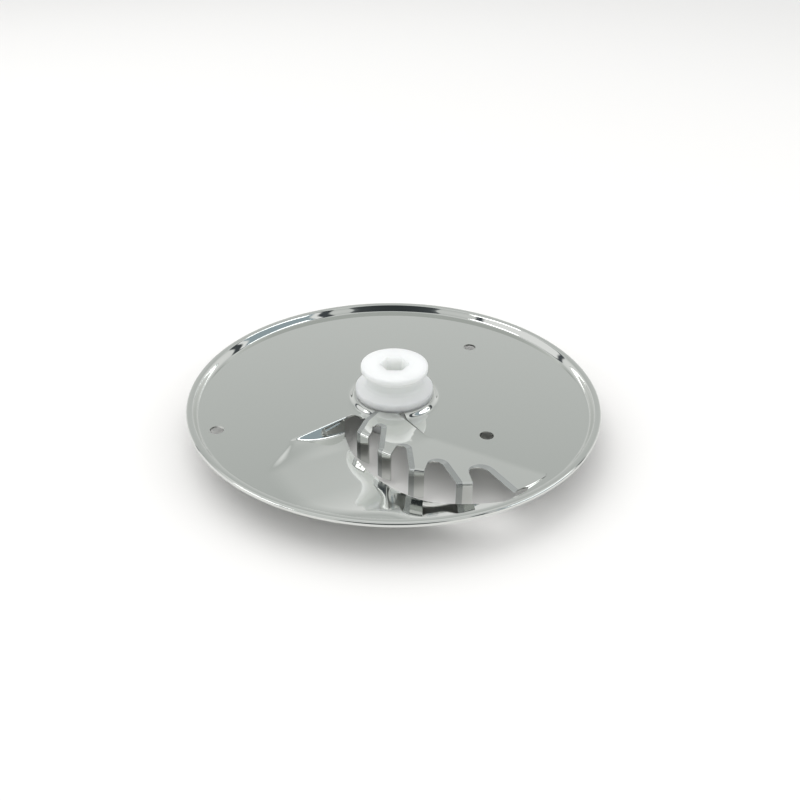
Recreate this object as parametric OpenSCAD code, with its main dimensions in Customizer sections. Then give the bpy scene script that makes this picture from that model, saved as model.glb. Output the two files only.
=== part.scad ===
// Food processor disc that slices and cuts into strips.
// A pressed stainless steel disc with a lanced blade, and a white plastic hub moulded through its middle.
// Origin: centre of the hub's foot. +Z up along the spindle, -Y towards the slicing mouth.

/* [Disc] */
// Outer diameter of the disc
disc_d = 180; // [172:1:200]
// Thickness of the sheet steel
sheet_t = 0.8; // [0.6:0.1:1]
// Height of the disc's top face above the surface that the hub stands on
disc_z = 13; // [13:0.5:20]

/* [Rim] */
// Width of the rim, from the foot of its riser to the disc's edge
rim_w = 4.8; // [4:0.1:6]
// Height of the rim's lip above the disc
rim_h = 3.3; // [1.5:0.1:5]
// Width of the sloping riser
riser_w = 2.2; // [1.5:0.1:2.6]
// Radius of the turned-down outer edge
edge_r = 0.9; // [0.85:0.05:1.2]

/* [Collar] */
// Radius of the foot of the raised collar round the hub
collar_r = 20; // [19.5:0.1:21]
// Height of the collar
collar_h = 1.8; // [1.2:0.1:2.4]
// Radius of the hole that the hub is moulded through
hub_hole_r = 14.6; // [13.5:0.1:15.5]

/* [Hub] */
// Diameter of the hub's lower flange
flange_d = 34.2; // [33:0.1:35]
// Diameter of the hub's top flange
cap_d = 29.3; // [26:0.1:32]
// Diameter of the neck between them
neck_d = 24.4; // [22:0.1:26]
// Height of the hub's top above the disc
hub_up = 16.4; // [15:0.1:22]
// Thickness of the top flange
cap_t = 2.4; // [1.8:0.1:3]
// Height of the lower flange's shoulder above the disc
shoulder_h = 5.8; // [5:0.1:6.5]
// Diameter of the barrel under the disc
barrel_d = 27; // [25:0.1:29]
// Thickness of the hub's flange under the sheet
under_t = 2.6; // [2:0.1:4]
// Size of the six-sided socket across its flats
socket_af = 11.1; // [9:0.1:13]
// Radius of the round lead-in at the foot of the socket
lead_r = 7.6; // [7.6:0.1:9]
// Depth of that lead-in
lead_depth = 4; // [2:0.5:8]

/* [Holes] */
// Diameter of the three pressing holes
hole_d = 5.9; // [4:0.1:7]

/* [Ramp] */
// Depth of the feed ramp at the edge of the slicing mouth
ramp_d = 5.8; // [3:0.1:6.5]
// Length of the ramp, from the disc down to the mouth
ramp_l = 30; // [25:1:34]
// Width of the steep wall at the side of the ramp
wall_w = 2.6; // [2:0.1:4]
// Radius of the mouth's front edge
mouth_r = 59.6; // [58:0.1:61]

/* [Blade] */
// Rise of the blade for each millimetre away from its fold
blade_rise = 0.08; // [0.05:0.01:0.1]
// Width of the ground bevel
bevel_w = 2.3; // [1.5:0.1:2.6]
// Thickness left at the sharpened edge
edge_t = 0.15; // [0.1:0.05:0.3]
// Outer radius of the bend from the blade into each cutter
bend_r = 1.3; // [1.2:0.1:1.8]
// Gap between the cutters' feet and the surface that the hub stands on
cutter_gap = 1.3; // [0.8:0.1:4]
// Width of the strips' cutters
cutter_w = 6.2; // [5:0.1:6.6]

/* [Hidden] */
$fn = 96;
deep = 30;
disc_r = disc_d / 2;
rim_r = disc_r - rim_w;
collar_in_r = flange_d / 2 + 0.5;
// Plan places are measured from the disc's axis
mouth_c = [38.2, -13];
mouth_out_r = rim_r - 1.8;
mouth_end_a = -53;
mouth_start = [-17.2, -20.2];
mouth_start_r = 4.3;
ramp_a = -140;
// The two ends of the blade's fold, and the slit that runs from the fold to the collar
fold_a = [15.4, -32.7];
fold_b = [58.4, -56.8];
fold_dir = unit(fold_b - fold_a);
// How far the flat sheet and the blade run into each other at the fold
fold_lap = left_of(fold_dir) * 0.2;
// The blade's end is rolled upwards round the fold's inner end, in flats
roll_angle = 120;
rolls = 7;
slit = [[10.9, -28.5], [6.8, -23.5], [3.2, -18.9], [2, -17]];
blade_out_r = rim_r - 2.9;
blade_in_r = flange_d / 2;
first_edge = [[-8.2, -15], [-12.6, -22.5]];
// Leading tip and direction of each cutter, from the hub outwards
cutters = [[-15.4, -31, -33.7], [-6.5, -43.1, -29.3], [5.8, -55.8, -11], [23.8, -65, 8]];
last_tip = [44.9, -68.9];
// Centre and radius of the rounded notch after each cutter
notches = [[-6.6, -27.4, 1.4], [2.9, -41.6, 2.2], [16.3, -53, 3.3], [33.2, -57, 4.2]];
// Where each bend starts, behind its tip, and how far the cutter reaches into the blade
bend_start = bend_r - 0.4;
cutter_root = bend_start + 2;
// How far the cutter's top lies under the blade's, where one runs into the other
cutter_sink = 0.04;
holes = [[37, 46.4], [38.4, -30.4], [-73.4, -28.1]];

function smooth(u) = u * u * (3 - 2 * u);
function polar(r, a) = [r * cos(a), r * sin(a)];
function unit(v) = v / norm(v);
function left_of(v) = [-v.y, v.x];
function angle_of(v) = atan2(v.y, v.x);

// A path with a thickness below it, closed into an outline
function normal(path, i) = let (a = path[max(i - 1, 0)], b = path[min(i + 1, len(path) - 1)]) left_of(unit(b - a));
function band(path, t) = concat(path, [for (i = [len(path) - 1 : -1 : 0]) path[i] - normal(path, i) * t]);

// Extrudes a plan through the whole sheet
module through() {
    translate([0, 0, -deep / 2]) linear_extrude(deep) children();
}

// The disc's section: collar, flat, riser, lip and turned-down edge. The underside of each slope is moved
// sideways as well as down, so that the sheet is as thick there as it is on the flat
function s_curve(a, b, n) = [for (i = [0 : n]) let (u = i / n) [a.x + (b.x - a.x) * u, a.y + (b.y - a.y) * smooth(u)]];
function moved(path, dx, dy) = [for (i = [len(path) - 1 : -1 : 0]) path[i] + [dx, dy]];
function lag(rise, width) = sheet_t * tan(atan(1.5 * rise / width) / 2);
collar_top = s_curve([collar_in_r, collar_h], [collar_r, 0], 5);
riser_top = s_curve([rim_r, 0], [rim_r + riser_w, rim_h], 6);
edge_foot = rim_h - edge_r - 0.6;
disc_section = concat(
    [[hub_hole_r, collar_h]],
    collar_top,
    riser_top,
    [for (a = [90 : -22.5 : 0]) [disc_r - edge_r, rim_h - edge_r] + polar(edge_r, a)],
    [[disc_r, edge_foot], [disc_r - sheet_t, edge_foot], [disc_r - sheet_t, rim_h - sheet_t]],
    moved(riser_top, lag(rim_h, riser_w), -sheet_t),
    moved(collar_top, -lag(collar_h, collar_r - collar_in_r), -sheet_t),
    [[hub_hole_r, collar_h - sheet_t]]
);

// Plan of the mouth, cut in front of the blade and under it
module mouth_plan() {
    intersection() {
        translate(mouth_c) circle(r = mouth_r, $fn = 180);
        circle(r = mouth_out_r, $fn = 180);
        union() {
            translate(mouth_start) circle(r = mouth_start_r);
            polygon(concat(
                [mouth_start, mouth_start + [0.6, mouth_start_r - 0.05], [-12.4, -18.4], [-4, -21.7], [4.6, -21.5]],
                [slit[1], slit[0], fold_a - fold_lap, fold_b - fold_lap, polar(blade_out_r, mouth_end_a + 8.6)],
                [polar(blade_out_r, mouth_end_a + 4), polar(blade_out_r, mouth_end_a + 1.2), polar(mouth_out_r, mouth_end_a)],
                [polar(disc_r, mouth_end_a), [0, -100], [-30, -60], [-30, -21]]
            ));
        }
    }
}

// The hollow over the ramp, grown downwards and outwards by the sheet's thickness for its underside
module ramp_hollow(grow) {
    top = grow > 0 ? -sheet_t / 2 : 1;
    lean = wall_w / ramp_d;
    side = grow * sqrt(1 + lean * lean);
    function slope(x0, z) = x0 - (top - z) * lean;
    intersection() {
        translate(mouth_c) rotate_extrude($fn = 180) polygon(concat(
            [[mouth_r - 2, top], [mouth_r - 2, -ramp_d - grow], [mouth_r, -ramp_d - grow]],
            [for (u = [0.84, 0.9, 0.95]) [mouth_r + ramp_l * u, -ramp_d * (1 - u + 0.02 * (u - 0.84) / 0.16) - grow]],
            [[mouth_r + ramp_l + 2, -grow - 0.01], [mouth_r + ramp_l + 2, top]]
        ));
        rotate_extrude($fn = 180) polygon([
            [0, top], [mouth_out_r + 0.3 + side + top * lean, top],
            [mouth_out_r + 0.3 + side - (ramp_d + grow + 1) * lean, -ramp_d - grow - 1], [0, -ramp_d - grow - 1]
        ]);
        rotate(ramp_a) rotate([90, 0, 90]) linear_extrude(100) polygon([
            [-side - top * lean, top], [-side + (ramp_d + grow + 1) * lean, -ramp_d - grow - 1],
            [150, -ramp_d - grow - 1], [150, top]
        ]);
        through() polygon([[0, 0], polar(130, ramp_a - 3), [-40, -130], polar(130, mouth_end_a - 5)]);
    }
}

// Height of the blade's top face: a plane along its fold, rolled into a cone about the fold's inner end
function past_fold(p) = (p - fold_a) * fold_dir >= 0;
function rise_dir(p) = past_fold(p) ? -left_of(fold_dir) : unit(p - fold_a);
function blade_z(p) = blade_rise * max(0, (p - fold_a) * rise_dir(p));

function tip_left(i) = i < 4 ? [cutters[i].x, cutters[i].y] : last_tip;
function tip_right(i) = tip_left(i) + polar(cutter_w, cutters[i].z);
function pulled(p, i) = p + left_of(polar(bend_start, cutters[i].z));
function notch_c(i) = [notches[i].x, notches[i].y];
// Angle at which the notch's far side leaves its round root for the next tip
function leave_a(i) = let (v = tip_left(i + 1) - notch_c(i)) angle_of(v) + acos(notches[i].z / norm(v));

// One notch: a round root whose sides run to the tips beside it
module notch_plan(i) {
    n = notch_c(i);
    r = notches[i].z;
    v = tip_right(i) - n;
    back_a = angle_of(v) - acos(r / norm(v));
    translate(n) circle(r = r);
    polygon([n, n + polar(r, back_a), tip_right(i), (tip_right(i) + tip_left(i + 1)) / 2 + [-8, -12], tip_left(i + 1),
        n + polar(r, leave_a(i))]);
}

module blade_plan() {
    difference() {
        polygon(concat(
            first_edge,
            [for (i = [0 : 3]) each [pulled(tip_left(i), i), pulled(tip_right(i), i)]],
            [last_tip],
            [for (a = [-56.2 : 2 : -44.2]) polar(blade_out_r, a)],
            [fold_b + fold_lap, fold_a + fold_lap],
            slit
        ));
        circle(r = blade_in_r);
        for (i = [0 : 3]) notch_plan(i);
    }
}

// Turns its children into the blade's own plane at a place on it
module on_blade(p) {
    a = angle_of(rise_dir(p));
    translate([p.x, p.y, blade_z(p)]) rotate([0, 0, a]) rotate([0, -atan(blade_rise), 0]) rotate([0, 0, -a]) children();
}

// What grinding takes off along a straight edge, with the blade on the left of the way from p to q
module straight_bevel(p, q) {
    run = norm(q - p);
    on_blade((p + q) / 2) rotate(angle_of(q - p)) translate([-run / 2, 0, edge_t - sheet_t])
        rotate([atan((sheet_t - edge_t) / bevel_w), 0, 0]) translate([0, -3, 0]) cube([run, bevel_w + 4, 2]);
}

// The same round a notch's root, fading out towards the edge that isn't ground
module round_bevel(i) {
    r = notches[i].z;
    on_blade(notch_c(i) + polar(bevel_w / 2, leave_a(i)))
        translate([0, 0, edge_t - sheet_t]) cylinder(r1 = max(r - bevel_w / 2, 0.1), r2 = r + bevel_w / 2, h = sheet_t - edge_t + 0.002);
}

// A slab that rises from the fold's inner end in one direction, kept inside the blade's plan
module slab(a, rise) {
    intersection() {
        translate(fold_a) rotate(a) rotate([90, 0, 0]) translate([0, 0, -60]) linear_extrude(120)
            polygon([[-1, -rise], [60, 60 * rise], [60, 60 * rise - sheet_t], [-1, -rise - sheet_t]]);
        through() intersection() {
            blade_plan();
            translate(fold_a) rotate(a) children();
        }
    }
}

module blade_sheet() {
    plane_a = angle_of(-left_of(fold_dir));
    step = roll_angle / rolls;
    side = step / 2 + 0.3;
    slab(plane_a, blade_rise) translate([-2, -0.1]) square([62, 60]);
    for (k = [0.5 : rolls]) slab(plane_a - k * step, blade_rise / cos(step / 2))
        polygon([[-0.1, 0], polar(60, -side), polar(60, side)]);
}

module blade() {
    difference() {
        blade_sheet();
        for (i = [0 : 3]) {
            root = notch_c(i) + polar(notches[i].z, leave_a(i));
            straight_bevel(root, tip_left(i + 1) + unit(tip_left(i + 1) - root) * 3);
            round_bevel(i);
        }
        straight_bevel(first_edge[0], first_edge[1]);
        straight_bevel(first_edge[1], tip_left(0) + unit(tip_left(0) - first_edge[1]) * 3);
    }
}

// One cutter: the finger's end bent down into an upright knife, ground along its leading edge
module cutter(i) {
    back = left_of(polar(1, cutters[i].z));
    middle = tip_left(i) + polar(cutter_w / 2, cutters[i].z);
    z_root = blade_z(middle + back * cutter_root) - cutter_sink;
    z_bend = blade_z(middle + back * bend_start) - cutter_sink;
    lean = atan((blade_z(pulled(tip_right(i), i)) - blade_z(pulled(tip_left(i), i))) / cutter_w);
    face = bend_start - bend_r;
    path = concat(
        [[face, cutter_gap - disc_z]],
        [for (a = [180 : -22.5 : 90]) [bend_start, z_bend - bend_r] + polar(bend_r, a)],
        [[cutter_root, z_root]]
    );
    translate([middle.x, middle.y, z_bend]) rotate(cutters[i].z) rotate([0, -lean, 0]) translate([-cutter_w / 2, 0, -z_bend])
        difference() {
            rotate([90, 0, 90]) linear_extrude(cutter_w) polygon(band(path, sheet_t));
            translate([0, face + sheet_t - edge_t, -deep]) rotate(-atan((sheet_t - edge_t) / bevel_w))
                translate([-1, -3, 0]) cube([bevel_w + 3, 3, deep * 2]);
        }
}

module disc() color("silver") translate([0, 0, disc_z]) {
    difference() {
        union() {
            rotate_extrude($fn = 180) polygon(disc_section);
            ramp_hollow(sheet_t);
        }
        ramp_hollow(0);
        through() mouth_plan();
        for (p = holes) translate([p.x, p.y, -deep / 2]) cylinder(d = hole_d, h = deep);
    }
    blade();
    for (i = [0 : 3]) cutter(i);
}

// The hub's section, moulded round the collar's inner edge
hub_section = [
    [0, -disc_z],
    [barrel_d / 2 - 0.8, -disc_z], [barrel_d / 2, -disc_z + 0.8],
    [barrel_d / 2, collar_h - sheet_t - under_t],
    [flange_d / 2 - 0.8, collar_h - sheet_t - under_t], [flange_d / 2, collar_h - under_t],
    [flange_d / 2, collar_h - sheet_t], [hub_hole_r, collar_h - sheet_t],
    [hub_hole_r, collar_h], [flange_d / 2 - 0.4, collar_h],
    [flange_d / 2, collar_h + 0.4], [flange_d / 2, shoulder_h - 0.9],
    [flange_d / 2 - 0.3, shoulder_h - 0.3], [flange_d / 2 - 1, shoulder_h + 0.1],
    [neck_d / 2 + 1.2, shoulder_h + 1.4], [neck_d / 2 + 0.3, shoulder_h + 2], [neck_d / 2, shoulder_h + 2.8],
    [neck_d / 2, hub_up - cap_t - 3], [neck_d / 2 + 0.4, hub_up - cap_t - 1.6], [cap_d / 2 - 0.6, hub_up - cap_t - 0.4],
    [cap_d / 2, hub_up - cap_t + 0.4],
    [cap_d / 2, hub_up - 0.9], [cap_d / 2 - 0.3, hub_up - 0.3], [cap_d / 2 - 0.9, hub_up],
    [0, hub_up]
];

module hub() color("white") translate([0, 0, disc_z]) difference() {
    rotate_extrude($fn = 180) polygon(hub_section);
    translate([0, 0, -deep]) cylinder(d = socket_af / cos(30), h = deep + hub_up + 1, $fn = 6);
    translate([0, 0, -disc_z - 1]) cylinder(r = lead_r, h = lead_depth + 1);
    translate([0, 0, hub_up - 0.7]) cylinder(d1 = socket_af, d2 = socket_af + 2.2, h = 1.1);
}

disc();
hub();
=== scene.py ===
"""Food processor disc for slicing and cutting into strips: mirror-bright steel with a white plastic hub."""

import math

import bpy
from mathutils import Matrix, Vector


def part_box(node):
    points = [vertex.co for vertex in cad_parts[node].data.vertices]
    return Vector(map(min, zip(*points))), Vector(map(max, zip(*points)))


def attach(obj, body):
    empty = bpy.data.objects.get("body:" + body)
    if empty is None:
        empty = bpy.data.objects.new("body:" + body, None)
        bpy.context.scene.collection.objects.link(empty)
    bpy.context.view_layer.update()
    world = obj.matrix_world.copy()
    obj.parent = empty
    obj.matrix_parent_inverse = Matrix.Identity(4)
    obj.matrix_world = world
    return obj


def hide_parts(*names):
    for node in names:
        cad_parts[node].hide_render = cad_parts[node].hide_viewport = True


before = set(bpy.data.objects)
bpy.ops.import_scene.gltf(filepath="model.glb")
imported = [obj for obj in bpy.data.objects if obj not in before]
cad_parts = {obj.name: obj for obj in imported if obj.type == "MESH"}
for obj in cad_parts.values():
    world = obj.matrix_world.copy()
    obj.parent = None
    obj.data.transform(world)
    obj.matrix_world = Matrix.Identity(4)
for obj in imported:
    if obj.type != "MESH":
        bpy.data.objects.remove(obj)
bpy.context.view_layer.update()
bpy.ops.object.select_all(action="DESELECT")

# The sheet. One disc of stainless steel, 0.8 mm thick, pressed with a raised rim, a collar round
# the hub and a feed ramp, then pierced and polished to a mirror. It stands on the hub's foot, so
# its flat lies 13 mm up. Sizes are in millimetres, and plan places are from the disc's axis.
MM = 0.001
SHEET = 0.8
RIM_RISE = 3.3
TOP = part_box("disc")[1].z / MM - RIM_RISE
RIM_R = 85.2
EDGE_R = 90.0
MOUTH_C, MOUTH_R, MOUTH_OUT_R = Vector((38.2, -13.0)), 59.6, 83.4
RAMP_DEEP, RAMP_LONG, RAMP_SIDE, WALL_W, FRONT_FALL = 5.8, 35.0, -140.0, 2.6, 0.33
HOLES = ((37.0, 46.4), (38.4, -30.4), (-73.4, -28.1))
HOLE_R = 2.95


def polar(radius, angle):
    return Vector((radius * math.cos(math.radians(angle)), radius * math.sin(math.radians(angle))))


def left_of(v):
    return Vector((-v.y, v.x))


def angle_of(v):
    return math.degrees(math.atan2(v.y, v.x))


def ease(u):
    u = min(max(u, 0.0), 1.0)
    return u * u * (3 - 2 * u)


def arc(center, radius, start, end, steps):
    """Points on a circle, from one angle to another."""
    return [center + polar(radius, start + (end - start) * i / steps) for i in range(steps + 1)]


def slope(low, high, steps):
    """An S-shaped slope in section, between two (radius, height) points."""
    run, rise = high[0] - low[0], high[1] - low[1]
    return [(low[0] + run * i / steps, low[1] + rise * ease(i / steps)) for i in range(steps + 1)]


def flat(start, end, pitch):
    """Even steps across a flat stretch of the section, without its two ends."""
    count = round((end - start) / pitch)
    return [(start + (end - start) * i / count, 0.0) for i in range(1, count)]


def lag(rise, width):
    """How far a slope's underside is moved sideways, so that the sheet keeps its thickness."""
    return SHEET * math.tan(math.atan(1.5 * rise / width) / 2)


def outline(name, points, fill="NOTHING"):
    """A closed loop of points, added as a circle whose corners are then put in place."""
    bpy.ops.mesh.primitive_circle_add(vertices=len(points), radius=1, fill_type=fill)
    piece = bpy.context.object
    piece.name = name
    for vertex, point in zip(piece.data.vertices, points):
        vertex.co = [c * MM for c in point]
    return piece


def slab(name, points, top, deep):
    """A plate with that outline, from its top face down."""
    piece = outline(name, [(p[0], p[1], top) for p in points], "NGON")
    bpy.ops.object.mode_set(mode="EDIT")
    bpy.ops.mesh.select_all(action="SELECT")
    bpy.ops.mesh.extrude_region_move(TRANSFORM_OT_translate={"value": (0, 0, -deep * MM)})
    bpy.ops.mesh.select_all(action="SELECT")
    bpy.ops.mesh.normals_make_consistent(inside=False)
    bpy.ops.object.mode_set(mode="OBJECT")
    return piece


def cut(piece, tool, keep="DIFFERENCE"):
    """Cuts a piece with a tool, which is used up."""
    modifier = piece.modifiers.new("cut", "BOOLEAN")
    modifier.operation = keep
    modifier.solver = "MANIFOLD"
    modifier.object = tool
    bpy.context.view_layer.objects.active = piece
    bpy.ops.object.modifier_apply(modifier=modifier.name)
    bpy.data.objects.remove(tool)


def soft_min(a, b, blend):
    h = max(blend - abs(a - b), 0.0) / blend
    return min(a, b) - h * h * blend / 4


def ramp_depth(p):
    """How far the ramp is pressed down at a place in plan: a cone that falls towards the mouth, beside a steep wall."""
    from_mouth = (p - MOUTH_C).length
    side = p.dot(polar(1, RAMP_SIDE + 90))
    if side < -2 or from_mouth < MOUTH_R - 3 or p.length > RIM_R:
        return 0.0
    open_side = ease(side / 14)
    front = ease((angle_of(p - MOUTH_C) + 140) / 22)
    run = max(from_mouth - MOUTH_R, 0.0) / (RAMP_LONG * (0.64 + 0.36 * open_side - 0.5 * front))
    fall = RAMP_DEEP * (1 - run ** (1.9 - 0.9 * open_side))
    walls = soft_min(side * RAMP_DEEP / WALL_W, (MOUTH_OUT_R + 1.2 - p.length) * FRONT_FALL, 0.8)
    depth = -soft_min(-soft_min(fall, walls, 1.2), 0.0, 0.6)
    return depth * ease((from_mouth - MOUTH_R + 3) / 2) * ease((-55 - angle_of(p)) / 6)


collar = slope((17.6, 1.8), (20.0, 0.0), 10)
riser = slope((RIM_R, 0.0), (87.4, RIM_RISE), 14)
web = flat(20.0, 78.5, 1.5) + [(78.5, 0.0)] + flat(78.5, RIM_R, 0.4)
lip = [tuple(p) for p in arc(Vector((89.1, 2.4)), 0.9, 90, 0, 8)]
collar_lag, riser_lag = lag(1.8, 2.4), lag(RIM_RISE, 2.2)
section = [(14.6, 1.8)] + collar + web + riser + lip
section += [(EDGE_R, 1.8), (EDGE_R - SHEET, 1.8), (EDGE_R - SHEET, RIM_RISE - SHEET)]
section += [(r + riser_lag, z - SHEET) for r, z in reversed(riser)]
section += [(r, z - SHEET) for r, z in reversed(web)]
section += [(r - collar_lag, z - SHEET) for r, z in reversed(collar)] + [(14.6, 1.8 - SHEET)]

sheet = outline("steel_disc", [(r, 0.0, TOP + z) for r, z in section])
bpy.ops.object.mode_set(mode="EDIT")
bpy.ops.mesh.select_all(action="SELECT")
# The section is spun clockwise in stretches: coarse where the sheet is plain, fine over the ramp, finest over its side wall
for turn, steps in ((52.0, 26), (80.0, 160), (12.0, 48), (216.0, 108)):
    bpy.ops.mesh.spin(steps=steps, angle=math.radians(turn), center=(0, 0, 0), axis=(0, 0, 1))
bpy.ops.mesh.select_all(action="SELECT")
bpy.ops.mesh.remove_doubles(threshold=0.00001)
bpy.ops.mesh.normals_make_consistent(inside=False)
bpy.ops.object.mode_set(mode="OBJECT")
for vertex in sheet.data.vertices:
    vertex.co.z -= ramp_depth(vertex.co.xy / MM) * MM

# The blade. It is lanced out of the same sheet, folded up along a soft crease, and rolled round the
# crease's inner end beside the hub. Four of its five fingers are bent down into upright cutters.
# It is worked flat first, as the blank is: cut out, ground along its edges, then bent and lifted.
FOLD_A, FOLD_B = Vector((15.4, -32.7)), Vector((58.4, -56.8))
FOLD = (FOLD_B - FOLD_A).normalized()
RISE = 0.08
CREASE = 1.5
BEND_R = 1.3
BEND_BACK = 0.9
BEND_RUN = BEND_R * math.pi / 2
FOOT_GAP = 1.3
CUTTER_W = 6.2
BEVEL_W = 2.3
KEEN = 0.15
BLADE_OUT_R = 82.3
# Leading tip of each cutter and the direction of its width, from the hub outwards
CUTTERS = ((-15.4, -31.0, -33.7), (-6.5, -43.1, -29.3), (5.8, -55.8, -11.0), (23.8, -65.0, 8.0))
# Centre and radius of the round notch after each cutter
NOTCHES = ((-6.6, -27.4, 1.4), (2.9, -41.6, 2.2), (16.3, -53.0, 3.3), (33.2, -57.0, 4.2))
FIRST_EDGE = (Vector((-8.2, -15.0)), Vector((-12.6, -22.5)))
LAST_TIP = Vector((44.9, -68.9))
SLIT = [Vector(p) for p in ((14.4, -31.9), (10.9, -28.5), (6.8, -23.5), (3.2, -18.9), (2.0, -17.0))]
crease_line = [FOLD_B + left_of(FOLD) * CREASE, FOLD_A + FOLD * 2 + left_of(FOLD) * CREASE]


def lift(p):
    """How far the blade stands above the flat: a plane along the crease, a cone round its inner end."""
    away = (p - FOLD_A).dot(-left_of(FOLD)) if (p - FOLD_A).dot(FOLD) > 0 else (p - FOLD_A).length
    if away < CREASE:
        return RISE * max(away + CREASE, 0.0) ** 2 / (4 * CREASE)
    return RISE * away


class Cutter:
    """One finger that ends in a cutter: where it starts to bend, and the way its flat blank runs on."""

    def __init__(self, x, y, direction):
        self.across = polar(1, direction)
        self.out = -left_of(self.across)
        self.lead = Vector((x, y)) - self.out * BEND_BACK
        self.trail = self.lead + self.across * CUTTER_W
        self.tip = Vector((x, y)) + self.across * CUTTER_W
        middle = (self.lead + self.trail) / 2
        self.reach = BEND_RUN + TOP + lift(middle) - BEND_R - FOOT_GAP

    def feet(self):
        return [self.lead + self.out * self.reach, self.trail + self.out * self.reach]


def notch_ends(notch, before, after):
    """Angles at which a notch's two sides, from the tips before and after it, touch its round root."""
    center, radius = Vector(notch[:2]), notch[2]
    ends = []
    for tip, way in ((before, -1), (after, 1)):
        v = tip - center
        ends.append(angle_of(v) + way * math.degrees(math.acos(radius / v.length)))
    return ends[0] % 360, ends[1]


cutters = [Cutter(*c) for c in CUTTERS]
leading_tips = [c.lead for c in cutters[1:]] + [LAST_TIP]
blank_line = [FIRST_EDGE[0] * 0.96, FIRST_EDGE[1]]
roots = []
for cutter, notch, next_tip in zip(cutters, NOTCHES, leading_tips):
    start, end = notch_ends(notch, cutter.tip, next_tip)
    blank_line += [cutter.lead] + cutter.feet() + [cutter.trail]
    blank_line += arc(Vector(notch[:2]), notch[2], start, end, 24)
    roots.append((Vector(notch[:2]) + polar(notch[2], end), end))
blank_line += [LAST_TIP] + arc(Vector((0, 0)), BLADE_OUT_R - 0.15, -56.2, -44.4, 12) + crease_line + SLIT
blade = slab("blade", blank_line, 0.0, SHEET)


def grind(piece, start, end):
    """Grinds the bevel of one straight edge, with the steel on the left of the way from start to end."""
    run = (end - start).length
    middle = (start + end) / 2
    steep = math.atan((SHEET - KEEN) / BEVEL_W)
    bpy.ops.mesh.primitive_cube_add(size=MM)
    wheel = bpy.context.object
    wheel.matrix_world = (
        Matrix.Translation((middle.x * MM, middle.y * MM, (KEEN - SHEET) * MM))
        @ Matrix.Rotation(math.radians(angle_of(end - start)), 4, "Z")
        @ Matrix.Rotation(steep, 4, "X")
        @ Matrix.Translation((0, 0, MM))
        @ Matrix.Diagonal((run, 2 * (BEVEL_W + 1), 2, 1))
    )
    bpy.context.view_layer.update()
    cut(piece, wheel)


for i, (root, leave) in enumerate(roots):
    grind(blade, root, leading_tips[i] + (leading_tips[i] - root).normalized() * 0.3)
    center = Vector(NOTCHES[i][:2]) + polar(BEVEL_W / 2, leave)
    bpy.ops.mesh.primitive_cone_add(
        vertices=96,
        radius1=max(NOTCHES[i][2] - BEVEL_W / 2, 0.1) * MM,
        radius2=(NOTCHES[i][2] + BEVEL_W / 2) * MM,
        depth=(SHEET - KEEN + 0.002) * MM,
        location=(center.x * MM, center.y * MM, ((KEEN - SHEET) / 2 + 0.001) * MM),
    )
    cut(blade, bpy.context.object)
grind(blade, FIRST_EDGE[0] * 0.96, FIRST_EDGE[1])
grind(blade, FIRST_EDGE[1], cutters[0].lead)
for cutter in cutters:
    grind(blade, cutter.lead - cutter.out * 0.3, cutter.feet()[0] + cutter.out)


def score(piece, places, chosen=None):
    """Adds edges where planes, each a point and a normal in plan, cross the piece or its chosen faces."""
    bpy.context.view_layer.objects.active = piece
    for point, normal in places:
        for face in piece.data.polygons:
            face.select = chosen is None or chosen(face.center.xy / MM)
        bpy.ops.object.mode_set(mode="EDIT")
        bpy.ops.mesh.bisect(plane_co=(point.x * MM, point.y * MM, 0), plane_no=(normal.x, normal.y, 0), threshold=1e-7)
        bpy.ops.object.mode_set(mode="OBJECT")


bpy.context.view_layer.objects.active = blade
bpy.ops.object.mode_set(mode="EDIT")
bpy.ops.mesh.select_mode(type="FACE")
bpy.ops.mesh.select_all(action="SELECT")
bpy.ops.mesh.quads_convert_to_tris()
bpy.ops.object.mode_set(mode="OBJECT")
GRID = 2.5
score(blade, [(Vector((x * GRID, 0)), Vector((1, 0))) for x in range(-8, 24)])
score(blade, [(Vector((0, y * GRID)), Vector((0, 1))) for y in range(-27, -6)])
score(blade, [(FOLD_A - left_of(FOLD) * (CREASE * i / 3), left_of(FOLD)) for i in range(-2, 4)])
for cutter in cutters:

    def on_finger(p, cutter=cutter):
        return -0.5 < (p - cutter.lead).dot(cutter.across) < CUTTER_W + 0.5 and (p - cutter.lead).dot(cutter.out) > -2

    score(blade, [(cutter.lead + cutter.out * (BEND_RUN * i / 12), cutter.out) for i in range(13)], on_finger)


def srgb(code):
    """A hex colour as Blender's linear values."""
    parts = [int(code[i : i + 2], 16) / 255 for i in (0, 2, 4)]
    return [c / 12.92 if c <= 0.04045 else ((c + 0.055) / 1.055) ** 2.4 for c in parts] + [1.0]


# Stainless steel, rolled and polished to a mirror. The ground edges are the same steel as the wheel leaves it:
# their fine scratches spread what they mirror, so they look greyer and softer
bright_steel = bpy.data.materials.new("bright_stainless_steel")
ground_steel = bpy.data.materials.new("ground_stainless_steel")
for material, code, roughness in ((bright_steel, "D6D8D5", 0.045), (ground_steel, "B2B5B4", 0.24)):
    material.use_nodes = True
    shader = material.node_tree.nodes["Principled BSDF"]
    shader.inputs["Base Color"].default_value = srgb(code)
    shader.inputs["Metallic"].default_value = 1.0
    shader.inputs["Roughness"].default_value = roughness
blade.data.materials.clear()
blade.data.materials.append(bright_steel)
blade.data.materials.append(ground_steel)
# Of the flat blank, only the ground edges lean between these two slopes
for face in blade.data.polygons:
    face.material_index = int(0.9 < face.normal.z < 0.99)

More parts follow.
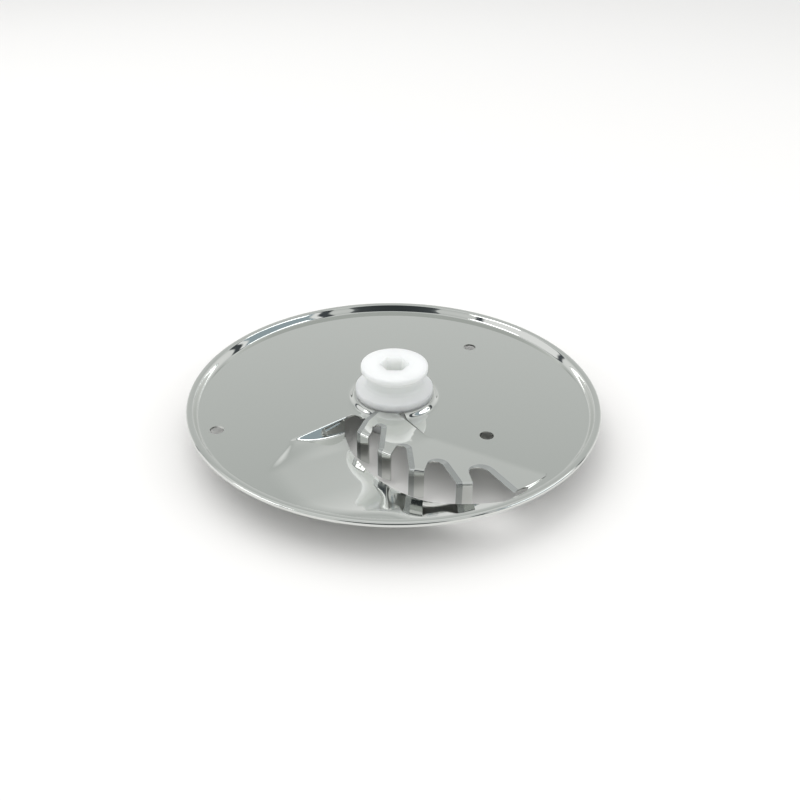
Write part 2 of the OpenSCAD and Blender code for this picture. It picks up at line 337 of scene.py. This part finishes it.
for vertex in blade.data.vertices:
    p, deep = vertex.co.xy / MM, -vertex.co.z / MM
    z = -deep
    for cutter in cutters:
        across, past = (p - cutter.lead).dot(cutter.across), (p - cutter.lead).dot(cutter.out)
        if past > 0 and -0.2 < across < CUTTER_W + 0.2:
            turn = min(past, BEND_RUN) / BEND_R
            p = cutter.lead + cutter.across * across + cutter.out * (BEND_R - deep) * math.sin(turn)
            z = (BEND_R - deep) * math.cos(turn) - BEND_R - max(past - BEND_RUN, 0)
            break
    vertex.co = (p.x * MM, p.y * MM, (TOP + z + lift(p)) * MM)

# The mouth is what the lance opens in the sheet: the ramp's edge in front, and the blade's own outline behind
mouth_line = arc(MOUTH_C, MOUTH_R, -174.8, -87.1, 90) + arc(Vector((0, 0)), MOUTH_OUT_R, -60.2, -53.6, 8)
mouth_line += [polar(83.0, -52.5), polar(82.5, -51.9)] + arc(Vector((0, 0)), BLADE_OUT_R, -51.2, -44.4, 8)
mouth_line += crease_line + [SLIT[0]]
mouth_line += [Vector(p) for p in ((11.2, -27.6), (7.3, -21.5), (3.9, -16.2), (-4.0, -21.7), (-12.4, -18.4))]
mouth_line += arc(Vector((-17.2, -20.2)), 4.3, 82, 155, 10)
cut(sheet, slab("mouth", mouth_line, TOP + 10, 30))
for x, y in HOLES:
    bpy.ops.mesh.primitive_cylinder_add(vertices=64, radius=HOLE_R * MM, depth=0.02, location=(x * MM, y * MM, TOP * MM))
    cut(sheet, bpy.context.object)

sheet.data.materials.clear()
sheet.data.materials.append(bright_steel)
for piece, limit in ((sheet, 35), (blade, 10)):
    bpy.ops.object.select_all(action="DESELECT")
    piece.select_set(True)
    bpy.context.view_layer.objects.active = piece
    bpy.ops.object.shade_smooth_by_angle(angle=math.radians(limit))
sheet.select_set(True)
bpy.context.view_layer.objects.active = sheet
bpy.ops.object.join()


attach(sheet, "root")
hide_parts("disc")

# The hub. White plastic, moulded round the collar's inner edge with a lower flange, a waist and a
# top flange. A six-sided socket goes right through it for the drive spindle.
HUB_UP = 16.4
SOCKET_AF = 11.1
LEAD_R, LEAD_DEEP = 7.6, 4.0


def rounded(corners, steps=5):
    """A section whose corners, each (radius, height, rounding), are rounded."""
    points = []
    for i, (r, z, rounding) in enumerate(corners):
        corner = Vector((r, z))
        back = Vector(corners[i - 1][:2]) - corner
        on = Vector(corners[(i + 1) % len(corners)][:2]) - corner
        if not rounding:
            points.append(corner)
            continue
        half = back.angle(on) / 2
        pull = min(rounding / math.tan(half), back.length * 0.49, on.length * 0.49)
        a, b = corner + back.normalized() * pull, corner + on.normalized() * pull
        for k in range(steps + 1):
            u = k / steps
            points.append(a * (1 - u) ** 2 + corner * 2 * u * (1 - u) + b * u * u)
    return points


hub_section = rounded(
    [
        (3.0, -13.0, 0), (13.5, -13.0, 0.8), (13.5, -1.6, 0.5), (17.1, -1.6, 0.8), (17.1, 1.0, 0),
        (14.6, 1.0, 0), (14.6, 1.8, 0), (17.1, 1.8, 0.3), (17.1, 5.6, 0.9), (13.4, 7.2, 0.6),
        (12.2, 8.3, 1.2), (12.2, 11.6, 1.2), (14.65, 13.6, 0.7), (14.65, 16.4, 0.9), (3.0, 16.4, 0),
    ]
)
hub = outline("white_hub", [(p.x, 0.0, TOP + p.y) for p in hub_section])
bpy.ops.object.mode_set(mode="EDIT")
bpy.ops.mesh.select_all(action="SELECT")
bpy.ops.mesh.spin(steps=144, angle=math.radians(360), center=(0, 0, 0), axis=(0, 0, 1))
bpy.ops.mesh.select_all(action="SELECT")
bpy.ops.mesh.remove_doubles(threshold=0.00001)
bpy.ops.mesh.normals_make_consistent(inside=False)
bpy.ops.object.mode_set(mode="OBJECT")
bpy.ops.mesh.primitive_cylinder_add(vertices=6, radius=SOCKET_AF / math.sqrt(3) * MM, depth=0.08, rotation=(0, 0, math.radians(30)))
cut(hub, bpy.context.object)
bpy.ops.mesh.primitive_cylinder_add(vertices=96, radius=LEAD_R * MM, depth=2 * LEAD_DEEP * MM, location=(0, 0, 0))
cut(hub, bpy.context.object)
bpy.ops.object.select_all(action="DESELECT")
hub.select_set(True)
bpy.context.view_layer.objects.active = hub
bpy.ops.object.shade_smooth_by_angle(angle=math.radians(30))

# Polypropylene, moulded: milky white, light goes a little way in, with a soft shine
white_plastic = bpy.data.materials.new("milky_white_plastic")
white_plastic.use_nodes = True
shader = white_plastic.node_tree.nodes["Principled BSDF"]
shader.inputs["Base Color"].default_value = srgb("E6E9E6")
shader.inputs["Roughness"].default_value = 0.32
shader.inputs["Subsurface Weight"].default_value = 1.0
shader.inputs["Subsurface Radius"].default_value = (1.0, 1.0, 0.95)
shader.inputs["Subsurface Scale"].default_value = 0.02
hub.data.materials.clear()
hub.data.materials.append(white_plastic)
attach(hub, "root")
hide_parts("hub")

# The table: a plain white top, lit softly from above, left and behind
bpy.ops.mesh.primitive_plane_add(size=30, location=(0, 0, 0))
table = bpy.context.object
table.name = "table"
white_top = bpy.data.materials.new("white_table")
white_top.use_nodes = True
shader = white_top.node_tree.nodes["Principled BSDF"]
shader.inputs["Base Color"].default_value = srgb("E6E5E3")
shader.inputs["Roughness"].default_value = 0.6
table.data.materials.append(white_top)

for name, place, width, length, power in (
    ("lamp", (-0.6, 0.5, 1.4), 1.8, 1.4, 8.0),
    ("left_strip", (-1.0, -0.38, 0.68), 0.7, 0.18, 1.3),
    ("right_strip", (1.0, -0.12, 0.68), 0.9, 0.18, 1.6),
):
    bpy.ops.object.light_add(type="AREA", location=place)
    lamp = bpy.context.object
    lamp.name = name
    lamp.data.shape = "RECTANGLE"
    lamp.data.size, lamp.data.size_y, lamp.data.energy = width, length, power
    lamp.rotation_euler = (-lamp.location).to_track_quat("-Z", "Y").to_euler()
    lamp.visible_glossy = name != "lamp"


def add(owner, kind, settings=(), links=()):
    """Adds a node to a material or world, with its settings, a ramp's stops and the outputs that feed its inputs."""
    node = owner.node_tree.nodes.new(kind)
    for name, value in dict(settings).items():
        if name == "stops":
            ramp = node.color_ramp.elements
            ramp.remove(ramp[0])
            ramp[0].position = 1.0
            ramp[0].color = srgb(value[-1][1])
            for place, code in value:
                ramp.new(place).color = srgb(code)
        elif name in node.inputs:
            node.inputs[name].default_value = value
        else:
            setattr(node, name, value)
    for name, output in dict(links).items():
        owner.node_tree.links.new(output, node.inputs[name])
    return node


# The room round the table is white and lit from above. What the polished steel mirrors is the same room: lightest
# near the table and greyer higher up, a dim figure in front, and at each side a bright window in a dark frame.
world = bpy.data.worlds.new("white_room")
bpy.context.scene.world = world
world.use_nodes = True
room = world.node_tree.nodes["Background"]
room.inputs["Strength"].default_value = 1.2
way = add(world, "ShaderNodeTexCoord").outputs["Generated"]
height = add(world, "ShaderNodeSeparateXYZ", links={"Vector": way}).outputs["Z"]
light = add(world, "ShaderNodeValToRGB", {"stops": ((0.0, "2E3032"), (0.15, "6A6E72"), (0.5, "F4F5F7"), (0.9, "FFFFFF"))}, {"Fac": height})
world.node_tree.links.new(light.outputs["Color"], room.inputs["Color"])
stops = ((0.0, "F8F8F7"), (0.2, "EDEEED"), (0.64, "C6C9C7"), (0.71, "FAFBFA"), (0.85, "DCDEDD"))
mirrored = add(world, "ShaderNodeValToRGB", {"stops": stops}, {"Fac": height}).outputs["Color"]
for aim, reach, stops in (
    ((0.0, -0.8, 0.5), 0.9, ((0.0, "7A7E80"), (0.3, "4C5052"), (0.9, "3C4042"))),
    ((1.0, -0.22, 0.45), 0.82, ((0.0, "4A4F52"), (0.35, "4A4F52"), (0.42, "FFFFFF"), (0.52, "FFFFFF"), (0.6, "A5B3BA"))),
    ((-1.0, -0.1, 0.25), 0.84, ((0.0, "50555A"), (0.25, "50555A"), (0.35, "FFFFFF"), (0.9, "FFFFFF"))),
):
    facing = add(world, "ShaderNodeVectorMath", {"operation": "DOT_PRODUCT"}, {0: way})
    facing.inputs[1].default_value = Vector(aim).normalized()
    inside = add(world, "ShaderNodeMapRange", {"From Min": reach, "From Max": 1.0}, {"Value": facing.outputs["Value"]}).outputs["Result"]
    edge = add(world, "ShaderNodeMapRange", {"interpolation_type": "SMOOTHSTEP", "From Max": 0.12}, {"Value": inside})
    patch = add(world, "ShaderNodeValToRGB", {"stops": stops}, {"Fac": inside})
    tint = add(world, "ShaderNodeMix", {"data_type": "RGBA"}, {"Factor": edge.outputs["Result"]})
    world.node_tree.links.new(mirrored, tint.inputs[6])
    world.node_tree.links.new(patch.outputs["Color"], tint.inputs[7])
    mirrored = tint.outputs[2]
mirror_room = add(world, "ShaderNodeBackground", links={"Color": mirrored})
white = add(world, "ShaderNodeBackground")
path = add(world, "ShaderNodeLightPath")
sharp = add(world, "ShaderNodeMath", {"operation": "MAXIMUM"}, {0: path.outputs["Is Glossy Ray"], 1: path.outputs["Is Transmission Ray"]})
in_steel = add(world, "ShaderNodeMixShader", links={0: sharp.outputs[0], 1: room.outputs[0], 2: mirror_room.outputs[0]})
in_view = add(world, "ShaderNodeMixShader", links={0: path.outputs["Is Camera Ray"], 1: in_steel.outputs[0], 2: white.outputs[0]})
world.node_tree.links.new(in_view.outputs[0], world.node_tree.nodes["World Output"].inputs["Surface"])

# The camera stands a little over 30 degrees up, in front of the mouth
EYE = Vector((0.0, -0.3034, 0.1881 + TOP * MM))
AIM = Vector((0.00259, -0.00343, TOP * MM))
ROLL = math.radians(0.797)
bpy.ops.object.camera_add(location=EYE)
camera = bpy.context.object
ahead = (AIM - EYE).normalized()
right = ahead.cross(Vector((0, 0, 1))).normalized()
up = right.cross(ahead)
turned = (right * math.cos(ROLL) + up * math.sin(ROLL), up * math.cos(ROLL) - right * math.sin(ROLL), -ahead)
camera.rotation_euler = Matrix(turned).transposed().to_euler()
camera.data.sensor_width = 36
camera.data.lens = 36 * 802 / 800
bpy.context.scene.camera = camera
bpy.context.scene.view_settings.view_transform = "Standard"
